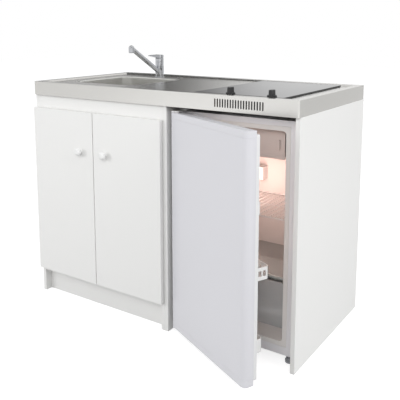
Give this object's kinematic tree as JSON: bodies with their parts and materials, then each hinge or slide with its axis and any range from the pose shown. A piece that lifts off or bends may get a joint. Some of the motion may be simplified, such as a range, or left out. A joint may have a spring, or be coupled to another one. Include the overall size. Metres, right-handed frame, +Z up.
{
  "type": "kitchenette unit",
  "caption": "Kitchenette unit: stainless worktop with sink, mixer tap and ceramic hob on a two-door sink cabinet, with an under-counter fridge whose door stands ajar.",
  "frame": {"origin": "back left corner of the left side board, on the floor, where the wall and the unit's left end meet", "axes": "+X along the wall to the right as seen from the front, +Y into the wall (the wall is the plane y = 0), +Z up"},
  "size_m": [1.2, 0.7801, 1.062],
  "materials": {
    "steel": "fine brushed",
    "chrome": "polished",
    "zinc": "zinc plated",
    "board": "white melamine coating",
    "batten": "sawn softwood",
    "backboard": "hardboard",
    "white_plastic": "moulded, semi-gloss",
    "pipe_plastic": "moulded",
    "fridge_skin": "painted sheet over foam",
    "fridge_body": "painted sheet over foam",
    "liner": "vacuum-formed, semi-gloss",
    "ice_metal": "satin",
    "flap": "moulded",
    "wire": "white coated wire",
    "clear": "clear",
    "clear_plastic": "clear moulded",
    "lamp": "translucent",
    "grey_plastic": "moulded",
    "black_plastic": "moulded",
    "black_metal": "black enamel",
    "hob_black": "black ceramic glass, polished",
    "seal": "matte",
    "gasket": "soft, matte",
    "tray_metal": "galvanised",
    "heater": "fibre insulation"
  },
  "bodies": {
    "unit": {"worktop": "steel", "worktop_battens": "batten", "sink_bowl": "steel", "sink_waste": "chrome", "bottle_trap": "pipe_plastic", "overflow_pipe": "pipe_plastic", "tap_body": "chrome", "tap_fixing": "zinc", "hob_glass": "hob_black", "hob_seal": "seal", "hob_housing": "tray_metal", "heaters": "heater", "hob_switches": "white_plastic", "left_side": "board", "right_side": "board", "cabinet_bottom": "board", "cabinet_back": "backboard", "fascia": "board", "plinth": "board", "rear_rail": "board", "partition": "board", "end_panel": "board", "niche_rail": "board", "hinge_arms": "zinc", "fridge_shell": "fridge_body", "fridge_liner": "liner", "ice_box": "ice_metal", "wire_shelf": "wire", "crisper_cover": "clear", "thermostat_housing": "white_plastic", "lamp_lens": "lamp", "top_hinge_bracket": "white_plastic", "bottom_hinge_bracket": "zinc", "fridge_feet": "black_plastic", "fridge_spacers": "black_plastic", "compressor": "black_metal", "condenser": "black_metal", "drip_tray": "black_plastic"},
    "left_door": {"left_door": "board", "left_door_knob": "white_plastic", "left_hinge_cups": "zinc"},
    "right_door": {"right_door": "board", "right_door_knob": "white_plastic", "right_hinge_cups": "zinc"},
    "fridge_door": {"fridge_door_skin": "fridge_skin", "fridge_door_caps": "white_plastic", "fridge_door_liner": "liner", "door_gasket": "gasket", "door_racks": "white_plastic", "bottle_rack": "white_plastic"},
    "ice_box_flap": {"ice_box_flap": "flap"},
    "crisper": {"crisper": "clear_plastic"},
    "thermostat_knob": {"thermostat_knob": "grey_plastic"},
    "tap_spout": {"tap_spout": "chrome", "aerator": "grey_plastic"},
    "tap_head": {"tap_head": "chrome"},
    "tap_lever": {"tap_lever": "chrome"},
    "left_hob_knob": {"left_hob_knob": "black_plastic"},
    "right_hob_knob": {"right_hob_knob": "black_plastic"},
    "drain_plug": {"drain_plug": "chrome"}
  },
  "joints": [
    {"name": "left_door_hinge", "type": "hinge", "parent": "unit", "child": "left_door", "pos_m": [0.002, -0.6075, 0.46], "axis": [0, 0, -1], "range_deg": [0, 95]},
    {"name": "right_door_hinge", "type": "hinge", "parent": "unit", "child": "right_door", "pos_m": [0.662, -0.6075, 0.46], "axis": [0, 0, 1], "range_deg": [0, 90]},
    {"name": "fridge_door_hinge", "type": "hinge", "parent": "unit", "child": "fridge_door", "pos_m": [0.712, -0.57, 0.43], "axis": [0, 0, -1], "range_deg": [-25.5, 64.5]},
    {"name": "ice_box_flap_hinge", "type": "hinge", "parent": "unit", "child": "ice_box_flap", "pos_m": [0.748, -0.506, 0.754], "axis": [0, 0, -1], "range_deg": [0, 28]},
    {"name": "crisper_slide", "type": "slide", "parent": "unit", "child": "crisper", "axis": [0, -1, 0], "range_m": [0, 0.035]},
    {"name": "thermostat_knob_turn", "type": "hinge", "parent": "unit", "child": "thermostat_knob", "pos_m": [0.83, -0.1803, 0.554], "axis": [0, -1, 0], "range_deg": [0, 270]},
    {"name": "tap_spout_swivel", "type": "hinge", "parent": "unit", "child": "tap_spout", "pos_m": [0.264, -0.085, 0.946], "axis": [0, 0, 1], "range_deg": [-120, 120]},
    {"name": "tap_head_turn", "type": "hinge", "parent": "unit", "child": "tap_head", "pos_m": [0.264, -0.085, 0.99], "axis": [0, 0, 1], "range_deg": [-45, 45]},
    {"name": "tap_lever_lift", "type": "hinge", "parent": "tap_head", "child": "tap_lever", "pos_m": [0.264, -0.076, 1.005], "axis": [-1, 0, 0], "range_deg": [0, 25]},
    {"name": "left_hob_knob_turn", "type": "hinge", "parent": "unit", "child": "left_hob_knob", "pos_m": [0.92, -0.545, 0.925], "axis": [0, 0, -1], "range_deg": [0, 270]},
    {"name": "right_hob_knob_turn", "type": "hinge", "parent": "unit", "child": "right_hob_knob", "pos_m": [1.077, -0.545, 0.925], "axis": [0, 0, -1], "range_deg": [0, 270]},
    {"name": "drain_plug_lift", "type": "slide", "parent": "unit", "child": "drain_plug", "axis": [0, 0, 1], "range_m": [0, 0.06]}
  ]
}
